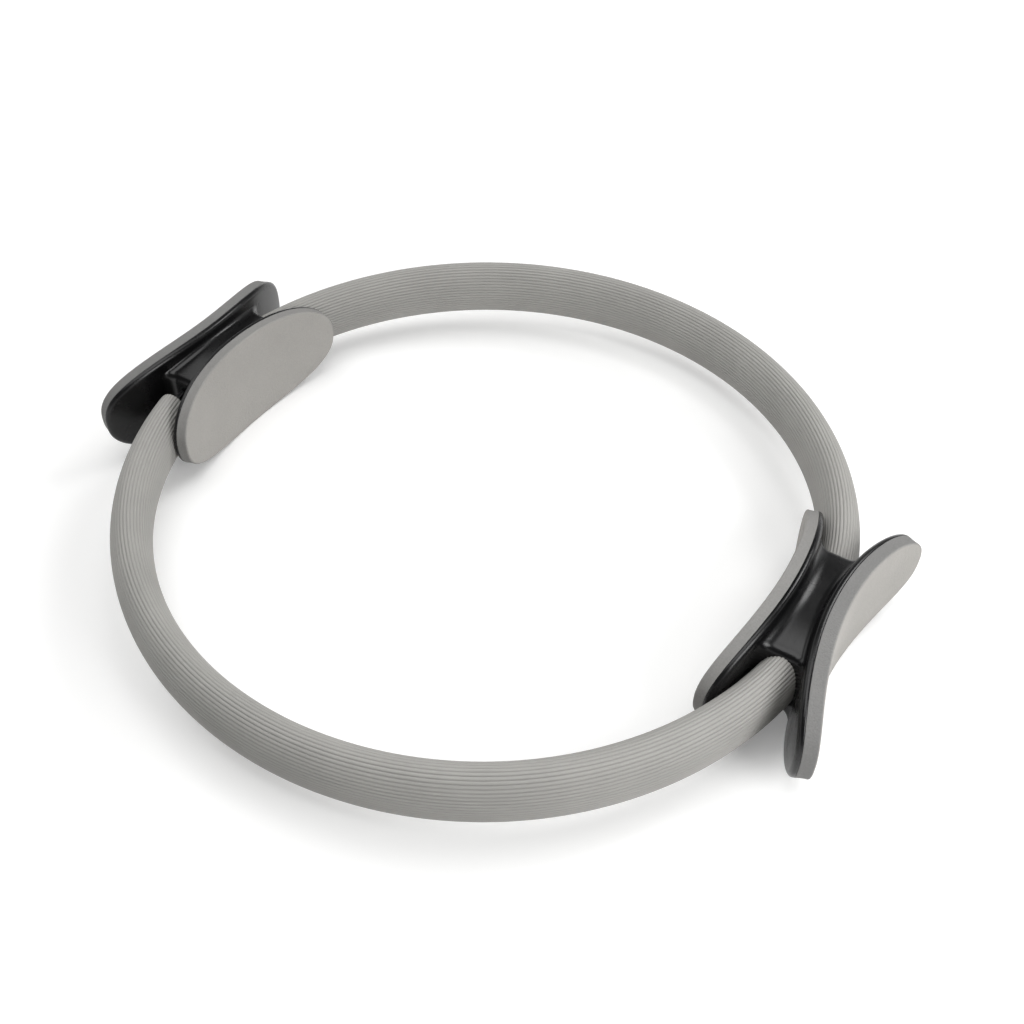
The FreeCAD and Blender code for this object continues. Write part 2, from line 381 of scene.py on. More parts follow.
def raise_piece(name: str, points: Array, faces: NDArray[np.int64], crease: float,
                marks: dict[str, Array] | None = None) -> bpy.types.Object:
    """Makes a closed mesh piece from points and faces, with its place in its mesh.

    Points that coincide are merged, so that poles close, and faces are turned outwards.

    Args:
        name: Name of the piece.
        points: Points, with x, y and z along the last axis.
        faces: Point numbers of each face.
        crease: Angle in radians above which an edge stays sharp.
        marks: Values or vectors at each point, kept in the mesh by name.

    Returns:
        The new object.
    """
    mesh = bpy.data.meshes.new(name)
    mesh.from_pydata(points.reshape(-1, 3).tolist(), [], faces.tolist())
    for mark, values in (marks or {}).items():
        kind, key = ("FLOAT_VECTOR", "vector") if values.shape == points.shape else ("FLOAT", "value")
        mesh.attributes.new(mark, kind, "POINT").data.foreach_set(key, values.astype(np.float32).ravel())
    shell = bmesh.new()
    shell.from_mesh(mesh)
    bmesh.ops.remove_doubles(shell, verts=shell.verts, dist=WELD)
    bmesh.ops.recalc_face_normals(shell, faces=shell.faces)
    shell.to_mesh(mesh)
    shell.free()
    mesh.polygons.foreach_set("use_smooth", np.ones(len(mesh.polygons), dtype=bool))
    mesh.set_sharp_from_angle(angle=crease)
    piece = bpy.data.objects.new(name, mesh)
    bpy.context.scene.collection.objects.link(piece)
    return piece


def dress(piece: bpy.types.Object, material: bpy.types.Material) -> None:
    """Gives a new piece its material."""
    piece.data.materials.append(material)


@dataclass(frozen=True)
class Hoop:
    """The round middle line that the bands and the sleeve follow."""

    core_radius: float = 0.1706
    mid_height: float = 0.0275

    def carry(self, out: Array, up: Array, angle: Array) -> Array:
        """Carries a section round the hoop.

        A point's distance from the Z axis is the core radius plus out, its direction is the angle, and its
        height is the mid height plus up.

        Args:
            out: Distance outwards from the middle line.
            up: Height over the middle line.
            angle: Direction in radians from the X axis.

        Returns:
            The points, with x, y and z along the last axis.
        """
        reach = self.core_radius + out
        spread = np.broadcast_arrays(reach * np.cos(angle), reach * np.sin(angle), self.mid_height + up)
        return np.stack(spread, axis=-1)

    def spot(self, degrees: float) -> Spot:
        """Gives the middle line's point at an angle in degrees."""
        x, y, z = self.carry(np.zeros(1), np.zeros(1), np.radians([degrees]))[0]
        return float(x), float(y), float(z)


@dataclass(frozen=True)
class Stretch:
    """A stretch of the hoop that bends between the two bodies of one hinge; angles are in degrees."""

    joint: str
    near_body: str
    far_body: str
    near: float
    hinge: float
    far: float
    ease: float

    @property
    def bend(self) -> Range:
        """Angles at which the bend starts and ends, the same way from the hinge on both sides."""
        way = math.copysign(self.ease, self.far - self.near)
        return self.hinge - way, self.hinge + way

    def angles(self, near: float, far: float, step: float) -> Array:
        """Gives even angles in radians from near to far, at most a step in degrees apart."""
        return np.radians(np.linspace(near, far, math.ceil(abs(far - near) / step) + 1))

    def bend_piece(self, piece: bpy.types.Object, hoop: Hoop) -> None:
        """Works out the hoop's points at both ends of the bend, which nothing uses, and bakes the piece's
        placement into its mesh.
        """
        start, end = self.bend
        hoop.spot(start)
        hoop.spot(end)
        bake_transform(piece)


TUCK = 10.2
HANDLE_HINGE = 24.22
SIDE_MIDDLE = 47.0
SHOULDER_HINGE = 70.0
FAR_POINT = 90.0
HALF_ROUND = 180.0
HANDLE_EASE = 7.4
SHOULDER_EASE = 18.0

STRETCHES = (
    Stretch("front_right_bend", "right_handle", "front_right",
            -TUCK, -HANDLE_HINGE, -SIDE_MIDDLE, HANDLE_EASE),
    Stretch("front_right_shoulder", "front_right", "front_middle",
            -SIDE_MIDDLE, -SHOULDER_HINGE, -FAR_POINT, SHOULDER_EASE),
    Stretch("front_left_shoulder", "front_middle", "front_left",
            -FAR_POINT, SHOULDER_HINGE - HALF_ROUND, SIDE_MIDDLE - HALF_ROUND, SHOULDER_EASE),
    Stretch("front_left_bend", "front_left", "left_handle",
            SIDE_MIDDLE - HALF_ROUND, HANDLE_HINGE - HALF_ROUND, TUCK - HALF_ROUND, HANDLE_EASE),
    Stretch("back_right_bend", "right_handle", "back_right",
            TUCK, HANDLE_HINGE, SIDE_MIDDLE, HANDLE_EASE),
    Stretch("back_right_shoulder", "back_right", "back_middle_right",
            SIDE_MIDDLE, SHOULDER_HINGE, FAR_POINT, SHOULDER_EASE),
    Stretch("back_left_shoulder", "back_left", "back_middle_left",
            HALF_ROUND - SIDE_MIDDLE, HALF_ROUND - SHOULDER_HINGE, FAR_POINT, SHOULDER_EASE),
    Stretch("back_left_bend", "left_handle", "back_left",
            HALF_ROUND - TUCK, HALF_ROUND - HANDLE_HINGE, HALF_ROUND - SIDE_MIDDLE, HANDLE_EASE),
)


def flat_oval(turn: Array, width: float, height: float, power: float) -> tuple[Array, Array]:
    """Works out an oval whose cosine and sine are raised to a power, which squares it for small powers.

    Args:
        turn: Angle of each point.
        width: Width outwards.
        height: Height.
        power: The power, under 1 for a squarer oval.

    Returns:
        Distance outwards and height of each point.
    """
    across, rise = np.cos(turn), np.sin(turn)
    out = 0.5 * width * np.sign(across) * np.abs(across) ** power
    up = 0.5 * height * np.sign(rise) * np.abs(rise) ** power
    return out, up


@dataclass(frozen=True)
class Sleeve:
    """The ribbed rubber sleeve, an oval extrusion with a slot for the bands."""

    hoop: Hoop
    width: float = 0.0188
    height: float = 0.0316
    rib_count: int = 46
    rib_points: int = 6
    rib_depth: float = 0.0004
    rib_roundness: float = 0.7
    fine_points: int = 7201
    slot_width: float = 0.0032
    slot_height: float = 0.0206
    slot_corner: float = 0.2
    slipped_joint: str = "front_left_bend"
    slip: float = 4.7
    step: float = 1.5
    crease: float = math.radians(60)

    def span(self, stretch: Stretch) -> Array:
        """Gives the angles that the sleeve covers; the slipped end stops short of its handle by the slip.

        Args:
            stretch: The stretch to cover.

        Returns:
            The angles in radians, from near to far.
        """
        slip = self.slip if stretch.joint == self.slipped_joint else 0.0
        far = stretch.far - math.copysign(slip, stretch.far - stretch.near)
        return stretch.angles(stretch.near, far, self.step)

    def even_turns(self) -> Array:
        """Gives the angles of points spaced evenly round the oval.

        The oval's length is added up over fine steps, and the angles are read off at equal lengths.

        Returns:
            The angles in radians.
        """
        fine = np.linspace(0.0, FULL_TURN, self.fine_points)
        steps = np.hypot(np.diff(self.width * np.cos(fine)), np.diff(self.height * np.sin(fine)))
        run = np.concatenate(([0.0], np.cumsum(steps)))
        even = np.linspace(0.0, run[-1], self.rib_count * self.rib_points, endpoint=False)
        return np.interp(even, run, fine)

    def skin(self) -> tuple[Array, Array, Array]:
        """Works out the ribbed outer loop.

        Each point of the oval moves in along the oval's normal by the rib depth times one minus a power of
        the absolute sine of its place across its rib, so ridges are round and grooves narrow.

        Returns:
            Distance outwards, height, and share of the groove's depth at each point.
        """
        turn = self.even_turns()
        across = np.arange(turn.size) / self.rib_points
        groove = 1.0 - np.abs(np.sin(HALF_TURN * across)) ** self.rib_roundness
        lean_out, lean_up = np.cos(turn) / self.width, np.sin(turn) / self.height
        inset = self.rib_depth * groove / np.hypot(lean_out, lean_up)
        out = 0.5 * self.width * np.cos(turn) - inset * lean_out
        up = 0.5 * self.height * np.sin(turn) - inset * lean_up
        return out, up, groove

    def slot(self) -> tuple[Array, Array]:
        """Gives the slot's loop, at the same angles as the skin."""
        return flat_oval(self.even_turns(), self.slot_width, self.slot_height, self.slot_corner)

    def build(self, stretch: Stretch, material: bpy.types.Material) -> bpy.types.Object:
        """Carries skin and slot along one stretch and closes them at both ends.

        The rings of the skin run from near to far and those of the slot back, and the whole grid is joined
        on itself, so that its ends become the cut faces.

        Args:
            stretch: The stretch to cover.
            material: The rubber.

        Returns:
            The new piece.
        """
        angles = self.span(stretch)[:, None]
        out, up, groove = self.skin()
        slot_out, slot_up = self.slot()
        skin, slot = self.hoop.carry(out, up, angles), self.hoop.carry(slot_out, slot_up, angles)
        rings = np.concatenate((skin, slot[::-1]))
        turn = np.linspace(0.0, FULL_TURN, out.size, endpoint=False)
        girth = 0.25 * (self.width + self.height)
        run = np.concatenate((angles, angles[::-1])) * self.hoop.core_radius
        lay = np.stack(np.broadcast_arrays(run, girth * np.cos(turn), girth * np.sin(turn)), axis=-1)
        # The groove share, kept as the groove mark, darkens the rubber's colour in the grooves as painted
        # shade.
        depth = np.concatenate((np.tile(groove, (angles.size, 1)), np.zeros((angles.size, groove.size))))
        faces = cells(*rings.shape[:2], wrap_rows=True)
        marks = {"lay": lay, "groove": depth}
        piece = raise_piece(f"sleeve_{stretch.joint}", rings, faces, self.crease, marks)
        stretch.bend_piece(piece, self.hoop)
        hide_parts(*(self.node(body) for body in (stretch.near_body, stretch.far_body)))
        dress(piece, material)
        return piece

    def node(self, body: str) -> str:
        """Names the sleeve node of a body."""
        return body.replace("_handle", "_sleeve_ends") if body.endswith("_handle") else f"{body}_sleeve"


@dataclass(frozen=True)
class SpringBand:
    """A thin steel strip bent to a hoop, whose ends meet inside one handle."""

    hoop: Hoop
    node: str
    middle: float
    gap_side: Side
    thickness: float = 0.0012
    width: float = 0.020
    half_gap: float = 0.25
    edge_power: float = 0.12
    edge_points: int = 32
    step: float = 1.5
    crease: float = math.radians(40)

    def end(self, degrees: float) -> float:
        """Moves the sleeve's end in a handle to the strip's own end: on the X axis, or half a gap from it.

        Args:
            degrees: An end of a stretch, which stays as it is outside the handles.

        Returns:
            The angle in degrees at which the strip ends.
        """
        gaps = {side: self.half_gap if side is self.gap_side else 0.0 for side in Side}
        swaps = {TUCK: gaps[Side.RIGHT], HALF_ROUND - TUCK: HALF_ROUND - gaps[Side.LEFT]}
        return math.copysign(swaps.get(abs(degrees), abs(degrees)), degrees)

    def build(self, stretch: Stretch, material: bpy.types.Material) -> bpy.types.Object:
        """Carries the strip's section along one stretch.

        The section is a squared oval, which gives a flat strip with eased edges. A last point at each end
        closes the strip.

        Args:
            stretch: The stretch to cover.
            material: The steel.

        Returns:
            The new piece.
        """
        angles = stretch.angles(self.end(stretch.near), self.end(stretch.far), self.step)
        half_step = HALF_TURN / self.edge_points
        turn = np.linspace(0.0, FULL_TURN, self.edge_points, endpoint=False) + half_step
        out, up = flat_oval(turn, self.thickness, self.width, self.edge_power)
        share = np.concatenate(([0.0], np.ones(angles.size), [0.0]))[:, None]
        spread = np.concatenate((angles[:1], angles, angles[-1:]))[:, None]
        rings = self.hoop.carry(self.middle + share * out, share * up, spread)
        piece = raise_piece(f"{self.node}_{stretch.joint}", rings, cells(*rings.shape[:2]), self.crease)
        stretch.bend_piece(piece, self.hoop)
        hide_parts(self.node)
        dress(piece, material)
        return piece


def mirrored(quarter: Array, along_sign: float, up_sign: float) -> Array:
    """Completes quarter rings, which run from the tip to the top, to closed rings.

    The second quarter is the first one read back, the third and fourth are both again, and each sign says
    how the value changes across the upright and the level middle line.

    Args:
        quarter: Values on quarter rings, along the last axis.
        along_sign: Sign across the upright middle line.
        up_sign: Sign across the level middle line.

    Returns:
        The values on the whole rings.
    """
    parts = (quarter, along_sign * quarter[..., -2::-1], along_sign * up_sign * quarter[..., 1:],
             up_sign * quarter[..., -2:0:-1])
    return np.concatenate(parts, axis=-1)


@dataclass(frozen=True)
class Bow:
    """The bowed oval face of a pad, as it stands on the right handle."""

    facing: Facing
    middle: float
    curve: float
    length: float
    fullness: float
    pad: float
    height: float = 0.0550
    mid_height: float = 0.0275
    columns: int = 46
    fine_points: int = 900

    @property
    def centre(self) -> float:
        """X of the axis that the face is bent round."""
        return self.middle - self.facing.value * self.curve

    def edge(self) -> tuple[Array, Array, Array, Array]:
        """Works out a quarter of the face's outline, from its tip to its top.

        The outline is an oval whose sine and cosine are raised to two over its fullness, which makes its
        ends blunter than an ellipse's. Points are read off at equal lengths along it.

        Returns:
            Length along the face and height of each point, and the outline's normal along both.
        """
        turn = np.linspace(0.0, QUARTER_TURN, self.fine_points)
        reach, rise, power = 0.5 * self.length, 0.5 * self.height, 2.0 / self.fullness
        along, up = reach * np.cos(turn) ** power, rise * np.sin(turn) ** power
        lean_along = np.cos(turn) ** (2.0 - power) / reach
        lean_up = np.sin(turn) ** (2.0 - power) / rise
        lean = np.hypot(lean_along, lean_up)
        run = np.concatenate(([0.0], np.cumsum(np.hypot(np.diff(along), np.diff(up)))))
        even = np.linspace(0.0, run[-1], self.columns + 1)
        curves = (along, up, lean_along / lean, lean_up / lean)
        return tuple(np.interp(even, run, values) for values in curves)

    def place(self, along: Array, up: Array, depth: Array, side: Side = Side.RIGHT) -> Array:
        """Bends points round the face's axis.

        A point's angle is its length along the face over the face's radius, and its distance from the axis
        is that radius plus its depth behind the face. The left handle is the right one turned half round.

        Args:
            along: Length along the face.
            up: Height over the middle.
            depth: Depth behind the face, towards the hoop.
            side: The handle to place the points on.

        Returns:
            The points, with x, y and z along the last axis.
        """
        angle = along / self.curve
        x = self.centre + self.facing.value * (self.curve + depth) * np.cos(angle)
        y = (self.curve + depth) * np.sin(angle)
        return np.stack((side.value * x, side.value * y, self.mid_height + up), axis=-1)

    def shell(self, name: str, rings: tuple[Array, Array, Array], side: Side, crease: float,
              mark: tuple[str, Array] | None = None) -> bpy.types.Object:
        """Makes a closed piece from quarter rings that start and end in one point.

        Args:
            name: Name of the piece.
            rings: Length along the face, height and depth on quarter rings.
            side: The handle that the piece is on.
            crease: Angle in radians above which an edge stays sharp.
            mark: Name and value for each ring of an attribute to keep.

        Returns:
            The new object.
        """
        signs = ((-1.0, 1.0), (1.0, -1.0), (1.0, 1.0))
        along, up, depth = (mirrored(values, *sign) for values, sign in zip(rings, signs))
        points = self.place(along, up, depth, side)
        rows, columns = points.shape[:2]
        marks = {mark[0]: np.repeat(mark[1], columns)} if mark else None
        return raise_piece(name, points, cells(rows, columns), crease, marks)


@dataclass(frozen=True)
class FoamPad:
    """A foam pad glued to a paddle: a bowed slab with a softened front edge.

    The share of the darker cut colour that its side and back show is lowered on the inner pads: painted
    light.
    """

    bow: Bow
    cut_share_and_painted_light: float
    glue: float = 0.00003
    crown: float = 0.0002
    crown_power: int = 4
    front_round: float = 0.0009
    back_round: float = 0.0002
    pull_in: float = 0.00012
    face_rings: tuple[float, ...] = (0.0, 0.2, 0.4, 0.6, 0.8, 0.93)
    back_rings: tuple[float, ...] = (0.6, 0.0)
    round_rings: int = 6
    side_rings: int = 4
    fill: float = 1.0
    crease: float = math.radians(60)

    def build(self, side: Side, material: bpy.types.Material) -> bpy.types.Object:
        """Makes the pad on one handle.

        Rings grow from the middle of the front face to its outline, where the face has dropped by the
        crown, round the front edge on a quarter circle, go down the side, which pulls in by a half sine,
        and shrink over the back to its middle.

        Args:
            side: The handle.
            material: The foam.

        Returns:
            The new piece.
        """
        along, up, lean_along, lean_up = self.bow.edge()
        face, closing = np.array(self.face_rings), np.array(self.back_rings)
        turn = np.linspace(0.0, QUARTER_TURN, self.round_rings)
        down = np.linspace(0.0, 1.0, self.side_rings + 2)[1:-1]
        back = self.bow.pad - self.glue
        top, foot = self.crown + self.front_round, back - self.back_round
        inset = np.concatenate((
            np.full(face.size, self.front_round),
            self.front_round * (1.0 - np.sin(turn)),
            self.pull_in * np.sin(HALF_TURN * down),
            self.back_round * (1.0 - np.cos(turn)),
            np.full(closing.size, self.back_round)))[:, None]
        depth = np.concatenate((
            self.crown * face ** self.crown_power,
            top - self.front_round * np.cos(turn),
            top + (foot - top) * down,
            foot + self.back_round * np.sin(turn),
            np.full(closing.size, back)))[:, None]
        size = np.concatenate((face, np.ones(2 * turn.size + down.size), closing))[:, None]
        # Inner pads take a smaller share, which lightens their edges as painted light.
        cut = self.cut_share_and_painted_light * np.concatenate((
            np.zeros(face.size),
            np.linspace(0.0, 1.0, turn.size),
            np.ones(down.size + turn.size + closing.size)))
        rings = (size * (along - inset * lean_along), size * (up - inset * lean_up), depth + 0.0 * along)
        node = f"{side.word}_{self.bow.facing.word}_pad"
        piece = self.bow.shell(f"{node}_foam", rings, side, self.crease, ("cut", cut))
        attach(piece, side.body)
        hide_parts(node)
        dress(piece, material)
        return piece


@dataclass(frozen=True)
class Saddle:
    """The moulded body between the two paddles of a handle, which clamps the hoop."""

    hoop: Hoop
    inner: Bow
    outer: Bow
    plate: float = 0.0032
    tip_plate: float = 0.0025
    half_length: float = 0.0335
    height: float = 0.0215
    end_height: float = 0.0172
    inner_hollow: Size = (0.0056, 0.0034)
    outer_hollow: Size = (0.0032, 0.0026)
    end_hollow: Size = (0.0055, 0.0055)
    end_round: float = 0.0042
    parting: float = 0.00002

    def plate_depth(self, bow: Bow, along: Array) -> Array:
        """Works out how deep a paddle's back lies behind the face of its pad.

        The paddle thins from its middle to its tips with the square of the length along it.

        Args:
            bow: The face of the pad.
            along: Length along the face.

        Returns:
            The depth at each length.
        """
        share = 2.0 * along / bow.length
        return bow.pad + self.plate - (self.plate - self.tip_plate) * share ** 2

    def parting_depth(self, bow: Bow, angle: Array) -> Array:
        """Works out how deep the parting face lies behind a pad's face.

        The parting face is the hoop's middle cylinder, so the depth is where a ray from the face's axis
        meets that cylinder, less the face's radius.

        Args:
            bow: The face that the depth is counted from.
            angle: Angle round the face's axis.

        Returns:
            The depth at each angle.
        """
        sideways = bow.centre * np.sin(angle)
        half_chord = np.sqrt(self.hoop.core_radius ** 2 - sideways ** 2)
        ray = bow.facing.value * (half_chord - bow.centre * np.cos(angle))
        return ray - bow.curve - self.parting

    def hollow(self, distance: Array, size: Size) -> Array:
        """Works out how far a hollow quarter ellipse rises towards its wall.

        The rise is the height times one minus the root of one minus the square of the share of the width
        that is left to the wall.

        Args:
            distance: Distance from the wall.
            size: Width and height of the quarter ellipse.

        Returns:
            The rise at each distance.
        """
        width, height = size
        share = np.clip(1.0 - distance / width, 0.0, 1.0)
        return height * (1.0 - np.sqrt(1.0 - share ** 2))

    def top(self, points: Array) -> Array:
        """Works out the height of the saddle's top over given points.

        The top falls from the middle to the ends with the square of the distance, and runs up each paddle's
        back on a hollow quarter ellipse.

        Args:
            points: Points on the right handle, with x and y first along the last axis.

        Returns:
            The half height at each point.
        """
        rise = np.zeros(points.shape[:-1])
        for bow, size in ((self.inner, self.inner_hollow), (self.outer, self.outer_hollow)):
            ahead = bow.facing.value * (points[..., 0] - bow.centre)
            along = bow.curve * np.arctan2(points[..., 1], ahead)
            distance = np.hypot(ahead, points[..., 1]) - bow.curve - self.plate_depth(bow, along)
            rise += self.hollow(np.maximum(distance, 0.0), size)
        fall = (self.height - self.end_height) * (points[..., 1] / self.half_length) ** 2
        return self.height - fall + rise


@dataclass(frozen=True)
class PaddleHalf:
    """One moulded half of a handle: a bowed oval paddle with its half of the saddle on its back."""

    bow: Bow
    saddle: Saddle
    rim_round: Size = (0.0028, 0.0021)
    front_round: float = 0.0002
    front_rings: tuple[float, ...] = (0.0, 0.6, 1.0)
    rim_rings: int = 10
    back_rings: int = 9
    saddle_levels: int = 34
    parting_rings: int = 5
    wall_columns: int = 14
    corner_columns: int = 6
    crease: float = math.radians(50)

    def paddle_rings(self) -> list[Array]:
        """Works out the paddle's rings, from the middle of its front to the rim of its back.

        Rings grow over the front to the outline, go up its side, and round the back edge on a quarter
        ellipse.

        Returns:
            Length along the face, height and depth on quarter rings.
        """
        along, up, lean_along, lean_up = self.bow.edge()
        front = np.array(self.front_rings)
        turn = np.linspace(0.0, QUARTER_TURN, self.rim_rings)
        width, drop = self.rim_round
        inset = np.concatenate((np.full(front.size, self.front_round), [0.0], width * (1.0 - np.cos(turn))))
        flat = self.bow.pad + np.append(np.zeros(front.size), self.front_round)
        rim = self.saddle.plate_depth(self.bow, along) - drop * (1.0 - np.sin(turn[:, None]))
        depth = np.concatenate((flat[:, None] + 0.0 * along, rim))
        size = np.concatenate((front, np.ones(1 + turn.size)))[:, None]
        inset = inset[:, None]
        return [size * (along - inset * lean_along), size * (up - inset * lean_up), depth]

    def saddle_rings(self) -> list[Array]:
        """Works out the rings of the saddle's half, from its foot on the paddle to the parting face.

        A ring runs up the end wall, round the end's top edge on a quarter circle, and along the top to the
        middle. The rings' distance from the paddle grows to the parting face as one minus a cosine, and the
        end wall runs out along the paddle's back on a hollow quarter ellipse.

        Returns:
            Length along the face, height and depth on quarter rings.
        """
        saddle, bow = self.saddle, self.bow
        wall_end, corner_end = self.wall_columns, self.wall_columns + self.corner_columns
        column = np.arange(bow.columns + 1)
        climb = np.clip(column / wall_end, 0.0, 1.0)
        bend = QUARTER_TURN * np.clip((column - wall_end) / self.corner_columns, 0.0, 1.0)
        run = np.clip((column - corner_end) / (bow.columns - corner_end), 0.0, 1.0)
        share = 1.0 - np.cos(np.linspace(0.0, QUARTER_TURN, self.saddle_levels))[:, None]
        radius, distance = self.end_wall(share)
        wall = saddle.half_length + saddle.hollow(distance, saddle.end_hollow)
        corner = saddle.end_round / radius
        flat = (np.arcsin(wall / radius) - corner) * (1.0 - run)
        angle = flat + corner * np.cos(bend)
        back = saddle.plate_depth(bow, angle * bow.curve)
        depth = back + share * (saddle.parting_depth(bow, angle) - back)
        over = bow.place(flat * bow.curve, np.zeros_like(flat), depth)
        up = (saddle.top(over) - saddle.end_round) * climb + saddle.end_round * np.sin(bend)
        return [angle * bow.curve, up, depth]

    def end_wall(self, share: Array) -> tuple[Array, Array]:
        """Works out where the rings meet the saddle's end.

        The angle is that of the parting face's end, seen from the face's axis. A ring's distance from the
        paddle's back is its share of the depth between that back and the parting face at this angle.

        Args:
            share: Share of the way from the paddle to the parting face.

        Returns:
            Distance of the end from the face's axis, and from the paddle's back.
        """
        reach = math.sqrt(self.saddle.hoop.core_radius ** 2 - self.saddle.half_length ** 2)
        angle = math.atan2(self.saddle.half_length, abs(reach - self.bow.centre))
        back = self.saddle.plate_depth(self.bow, np.array(angle * self.bow.curve))
        distance = share * (self.saddle.parting_depth(self.bow, np.array(angle)) - back)
        return self.bow.curve + back + distance, distance

    def build(self, side: Side, material: bpy.types.Material) -> bpy.types.Object:
        """Makes the half on one handle.

        Between the paddle's rim and the saddle's foot the back is filled by rings that pass evenly from one
        to the other, and the parting face by rings that shrink to its middle.

        Args:
            side: The handle.
            material: The plastic.

        Returns:
            The new piece.
        """
        paddle, body = self.paddle_rings(), self.saddle_rings()
        share = np.linspace(0.0, 1.0, self.back_rings + 2)[1:-1, None]
        shrink = np.linspace(1.0, 0.0, self.parting_rings + 1)[1:, None]
        filling = [(1.0 - share) * rim[-1] + share * foot[0] for rim, foot in zip(paddle[:2], body[:2])]
        filling.append(self.saddle.plate_depth(self.bow, filling[0]))
        closing = [shrink * body[0][-1], shrink * body[1][-1]]
        closing.append(self.saddle.parting_depth(self.bow, closing[0] / self.bow.curve))
        rings = tuple(np.concatenate(parts) for parts in zip(paddle, filling, body, closing))
        node = f"{side.word}_{self.bow.facing.word}_paddle"
        piece = self.bow.shell(f"{node}_moulding", rings, side, self.crease)
        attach(piece, side.body)
        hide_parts(node)
        dress(piece, material)
        return piece


@dataclass(frozen=True)
class Hardware:
    """Fasteners inside a handle, which keep their own solids."""

    side: Side

    def dress(self, finishes: dict[str, bpy.types.Material]) -> list[bpy.types.Object]:
        """Gives each fastener node its metal.

        Args:
            finishes: Metal for each fastener, by the end of its node's name.

        Returns:
            The dressed nodes.
        """
        nodes = [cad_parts[f"{self.side.word}_{word}"] for word in finishes]
        for node, material in zip(nodes, finishes.values()):
            node.data.materials.clear()
            node.data.materials.append(material)
        return nodes


@dataclass(frozen=True)
class Softbox:
    """A four-cornered studio lamp with a soft face."""

    name: str
    width: float
    length: float
    brightness: float
    place: Spot
    aim: Spot = (0.0, 0.0, 0.0)

    def hang(self) -> None:
        """Hangs the lamp, with the power that gives its face the brightness."""
        lamp = bpy.data.lights.new(self.name, "AREA")
        lamp.shape = "RECTANGLE"
        lamp.size, lamp.size_y = self.width, self.length
        lamp.energy = self.brightness * math.pi * self.width * self.length
        holder = bpy.data.objects.new(self.name, lamp)
        holder.location = self.place
        holder.visible_camera = False
        holder.rotation_euler = (Vector(self.place) - Vector(self.aim)).to_track_quat("Z", "Y").to_euler()
        bpy.context.scene.collection.objects.link(holder)


